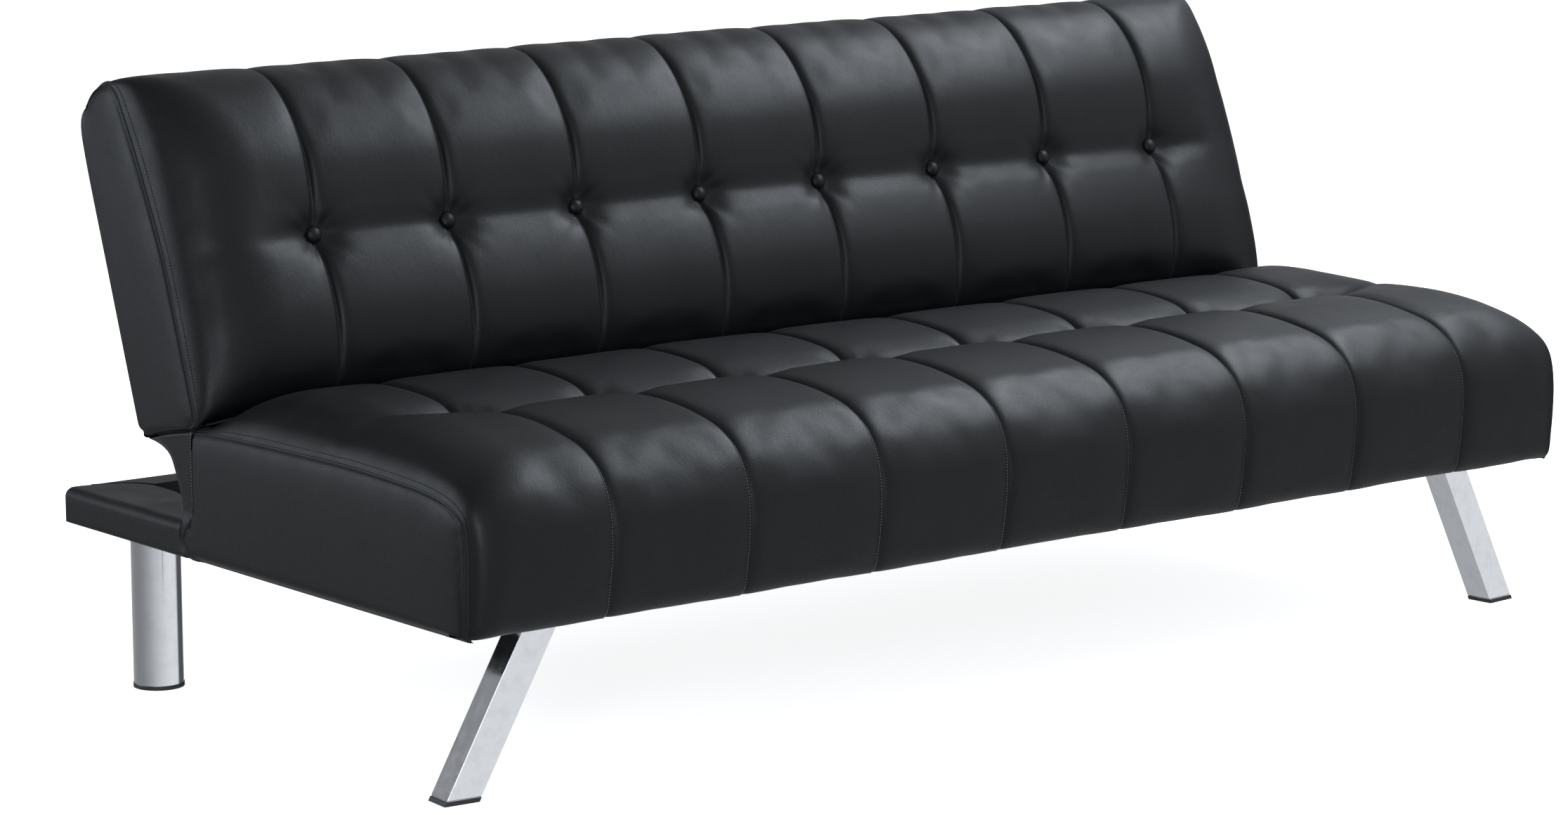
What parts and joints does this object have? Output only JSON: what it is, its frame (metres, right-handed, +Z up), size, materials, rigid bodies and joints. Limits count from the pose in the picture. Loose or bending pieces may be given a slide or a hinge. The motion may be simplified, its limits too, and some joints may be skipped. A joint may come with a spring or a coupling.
{
  "type": "futon sofa bed",
  "caption": "Padded futon sofa bed with a channel-stitched seat and backrest, a low rear shelf, chrome legs and a click-clack backrest that reclines flat.",
  "frame": {"origin": "on the floor, in the middle of the sofa's overall width and depth", "axes": "+X along the sofa, to the right seen from the front; +Y from the front to the back; +Z up"},
  "size_m": [1.69, 0.86, 0.7376],
  "materials": {
    "black_leather": "semi-gloss faux leather with a fine pebble grain",
    "black_cloth": "matte non-woven lining cloth",
    "foam": "open-cell upholstery foam",
    "webbing": "woven elastic webbing",
    "frame_wood": "sawn softwood boards",
    "leg_chrome": "polished chrome plate",
    "black_plastic": "matte moulded plastic",
    "screw_steel": "zinc-plated steel",
    "hinge_paint": "black enamelled pressed steel"
  },
  "bodies": {
    "seat": {"seat_rail_front": "frame_wood", "seat_rail_rear": "frame_wood", "seat_rail_left": "frame_wood", "seat_rail_right": "frame_wood", "seat_rail_middle": "frame_wood", "seat_webbing_long": "webbing", "seat_webbing_cross": "webbing", "leg_blocks": "frame_wood", "seat_foam": "foam", "seat_front_pad": "foam", "seat_side_pad_left": "foam", "seat_side_pad_right": "foam", "seat_cover": "black_leather", "seat_side_panel_left": "black_leather", "seat_side_panel_right": "black_leather", "seat_rear_cloth": "black_cloth", "dust_cloth": "black_cloth", "hinge_gusset_left": "black_leather", "hinge_gusset_right": "black_leather", "shelf_board": "frame_wood", "shelf_rail_rear": "frame_wood", "shelf_rail_left": "frame_wood", "shelf_rail_right": "frame_wood", "shelf_cover": "black_leather", "shelf_cloth": "black_cloth", "front_leg_left": "leg_chrome", "front_leg_right": "leg_chrome", "front_leg_plate_left": "leg_chrome", "front_leg_plate_right": "leg_chrome", "front_foot_cap_left": "black_plastic", "front_foot_cap_right": "black_plastic", "rear_leg_left": "leg_chrome", "rear_leg_right": "leg_chrome", "rear_leg_plate_left": "leg_chrome", "rear_leg_plate_right": "leg_chrome", "rear_foot_cap_left": "black_plastic", "rear_foot_cap_right": "black_plastic", "leg_screws": "screw_steel", "hinge_seat_plate_left": "hinge_paint", "hinge_seat_plate_right": "hinge_paint", "hinge_pins": "screw_steel", "hinge_washers": "black_plastic", "hinge_seat_screws": "screw_steel"},
    "backrest": {"hinge_back_plate_left": "hinge_paint", "hinge_back_plate_right": "hinge_paint", "hinge_back_screws": "screw_steel", "back_stile_left": "frame_wood", "back_stile_right": "frame_wood", "back_stile_middle": "frame_wood", "back_rail_top": "frame_wood", "back_rail_bottom": "frame_wood", "back_webbing": "webbing", "back_foam": "foam", "back_side_pad_left": "foam", "back_side_pad_right": "foam", "back_cover": "black_leather", "back_side_panel_left": "black_leather", "back_side_panel_right": "black_leather", "back_rear_panel": "black_leather", "back_buttons": "black_leather"}
  },
  "joints": [
    {"name": "back_recline", "type": "hinge", "parent": "seat", "child": "backrest", "pos_m": [0, 0.156, 0.33], "axis": [-1, 0, 0], "range_deg": [-8, 71], "deforming": ["hinge_gusset_left", "hinge_gusset_right"]}
  ]
}
